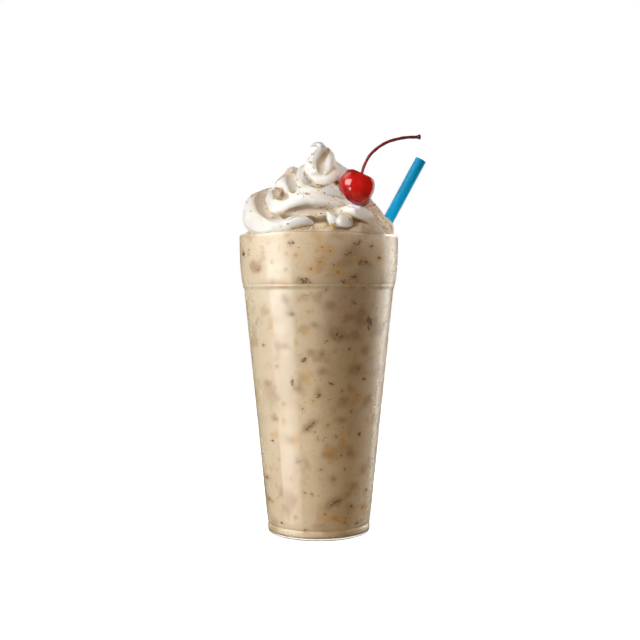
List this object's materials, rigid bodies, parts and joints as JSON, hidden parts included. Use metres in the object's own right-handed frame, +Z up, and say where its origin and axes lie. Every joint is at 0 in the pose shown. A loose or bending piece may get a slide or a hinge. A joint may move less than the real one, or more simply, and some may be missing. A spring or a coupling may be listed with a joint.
{
  "type": "milkshake in a tall cup",
  "caption": "Milkshake with chopped pieces in a tall clear plastic cup, topped with a swirl of whipped cream, a cherry on its stem and a drinking straw",
  "frame": {"origin": "centre of the ring foot on which the cup stands", "axes": "+Z up along the cup; -Y is the front; +X is towards the straw"},
  "size_m": [0.109, 0.0916, 0.2265],
  "materials": {
    "cup_plastic": "clear gloss",
    "shake": "smooth thick drink with chopped pieces",
    "cream": "soft satin",
    "cherry_skin": "high gloss",
    "cherry_stalk": "satin",
    "straw_plastic": "gloss"
  },
  "bodies": {
    "root": {"cup": "cup_plastic", "milkshake": "shake", "whipped_cream": "cream", "cherry": "cherry_skin", "cherry_stem": "cherry_stalk", "straw": "straw_plastic"}
  },
  "joints": []
}
